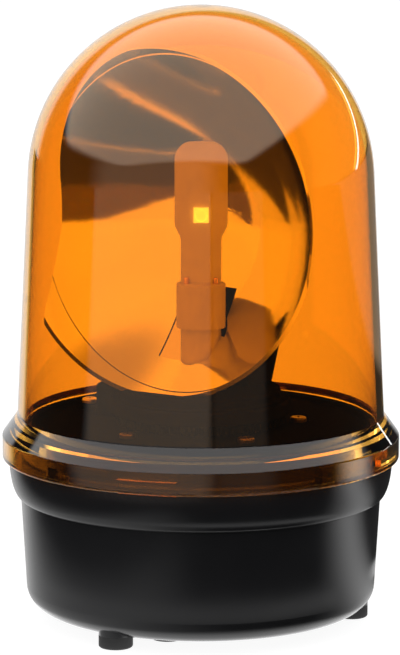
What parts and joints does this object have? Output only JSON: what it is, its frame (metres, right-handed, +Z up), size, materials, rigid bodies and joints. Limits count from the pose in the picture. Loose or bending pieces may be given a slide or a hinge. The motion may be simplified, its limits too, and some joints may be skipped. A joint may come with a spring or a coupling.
{
  "type": "rotating beacon",
  "caption": "Amber dome over a turning parabolic reflector and fixed LED lamp, geared motor in a black round case on three feet.",
  "frame": {"origin": "centre of the plane that the three feet stand on", "axes": "+Z up along the dome's axis, -Y towards the front"},
  "size_m": [0.1418, 0.1418, 0.2195],
  "materials": {
    "black_case": "satin",
    "black_rubber": "matte",
    "amber_lens": "polished",
    "mirror_coat": "polished",
    "zinc_steel": "satin",
    "pale_nylon": "satin",
    "brass": "satin",
    "pale_post": "satin",
    "board_white": "matte",
    "led_yellow": "gloss",
    "board_green": "satin",
    "dark_parts": "satin",
    "terminal_grey": "satin",
    "lead_red": "satin"
  },
  "bodies": {
    "base": {"board_plugs": "pale_nylon", "cable_grommet": "black_rubber", "case": "black_case", "chassis_plate": "black_case", "chassis_screws": "zinc_steel", "cover_screw": "zinc_steel", "driver_board": "board_green", "driver_parts": "dark_parts", "driver_screws": "zinc_steel", "lamp_leads": "lead_red", "lamp_post": "pale_post", "lamp_socket": "pale_post", "led_board": "board_white", "led_chips": "led_yellow", "motor": "zinc_steel", "motor_leads": "lead_red", "motor_screws": "zinc_steel", "mounting_feet": "black_rubber", "pinion_cover": "black_case", "post_nut": "zinc_steel", "retaining_clip": "zinc_steel", "socket_contacts": "brass", "terminal_block": "terminal_grey", "terminal_screws": "zinc_steel", "thrust_washer": "pale_nylon"},
    "rotor": {"rotor_bush": "brass", "rotor_drum": "black_case", "ring_gear": "black_case", "reflector": "mirror_coat", "reflector_bracket": "black_case", "bracket_screws": "zinc_steel", "mirror_screw": "zinc_steel"},
    "pinion": {"drive_pinion": "brass", "motor_shaft": "zinc_steel"},
    "seal": {"dome_seal": "black_rubber"},
    "dome": {"dome_lens": "amber_lens"}
  },
  "joints": [
    {"name": "rotor_spin", "type": "hinge", "parent": "base", "child": "rotor", "pos_m": [0, 0, 0.08], "axis": [0, 0, 1], "continuous": true},
    {"name": "pinion_spin", "type": "hinge", "parent": "base", "child": "pinion", "pos_m": [-0.02959, 0.02072, 0.073], "axis": [0, 0, 1], "continuous": true},
    {"name": "dome_twist", "type": "hinge", "parent": "base", "child": "seal", "pos_m": [0, 0, 0.0675], "axis": [0, 0, 1], "range_deg": [-24, 0]},
    {"name": "dome_lift", "type": "slide", "parent": "seal", "child": "dome", "axis": [0, 0, 1], "range_m": [0, 0.17]}
  ],
  "couplings": [
    {"joint": "pinion_spin", "follows": "rotor_spin", "ratio": -4.7143}
  ]
}
